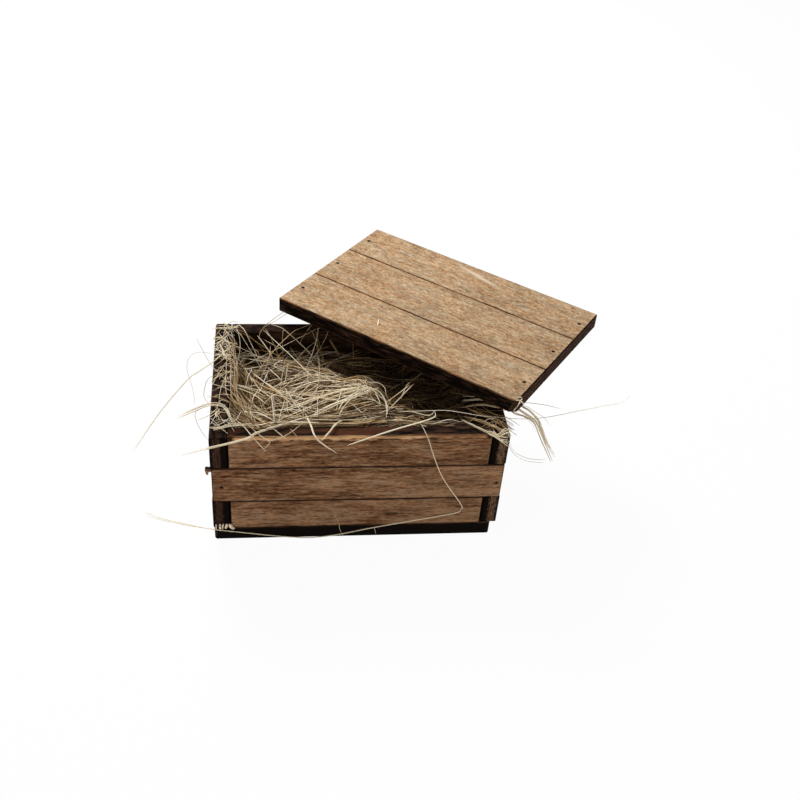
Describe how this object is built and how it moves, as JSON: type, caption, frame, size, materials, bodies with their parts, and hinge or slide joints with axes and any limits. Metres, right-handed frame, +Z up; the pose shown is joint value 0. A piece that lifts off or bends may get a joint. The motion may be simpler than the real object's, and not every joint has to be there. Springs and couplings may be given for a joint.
{
  "type": "wooden crate",
  "caption": "Small rectangular wooden crate of lapped boards, packed with straw, with a loose board lid lying askew on its rim.",
  "frame": {"origin": "under the middle of the crate, on the face that it stands on", "axes": "+X along the front to the right, +Y from the front to the back, +Z up"},
  "size_m": [0.1923, 0.1337, 0.0608],
  "materials": {
    "wall_wood": "dark stained wood with charred edges, satin",
    "lid_wood": "light brown worn wood, matte",
    "base_wood": "blackened wood, matte",
    "nails": "dark oxidised steel",
    "straw": "dry straw fibres, matte"
  },
  "bodies": {
    "crate": {"front_top": "wall_wood", "front_middle": "wall_wood", "front_bottom": "wall_wood", "back_top": "wall_wood", "back_middle": "wall_wood", "back_bottom": "wall_wood", "left_top": "wall_wood", "left_middle": "wall_wood", "left_bottom": "wall_wood", "right_top": "wall_wood", "right_middle": "wall_wood", "right_bottom": "wall_wood", "base_front_board": "base_wood", "base_middle_board": "base_wood", "base_back_board": "base_wood", "front_nails": "nails", "back_nails": "nails", "left_nails": "nails", "right_nails": "nails", "base_nails": "nails", "straw_bed": "straw", "straw_front_heap": "straw", "straw_lid_heap": "straw", "straw_on_back_rim": "straw", "straw_on_right_rim": "straw", "loose_straws_left": "straw", "loose_straws_front": "straw", "loose_straws_right": "straw"},
    "lid": {"lid_front": "lid_wood", "lid_middle": "lid_wood", "lid_back_edge": "lid_wood", "lid_batten_left": "wall_wood", "lid_batten_right": "wall_wood", "lid_nails": "nails", "batten_nails": "nails"}
  },
  "joints": [
    {"name": "lid_lift", "type": "slide", "parent": "crate", "child": "lid", "axis": [0, 0, 1], "range_m": [0, 0.06]}
  ]
}
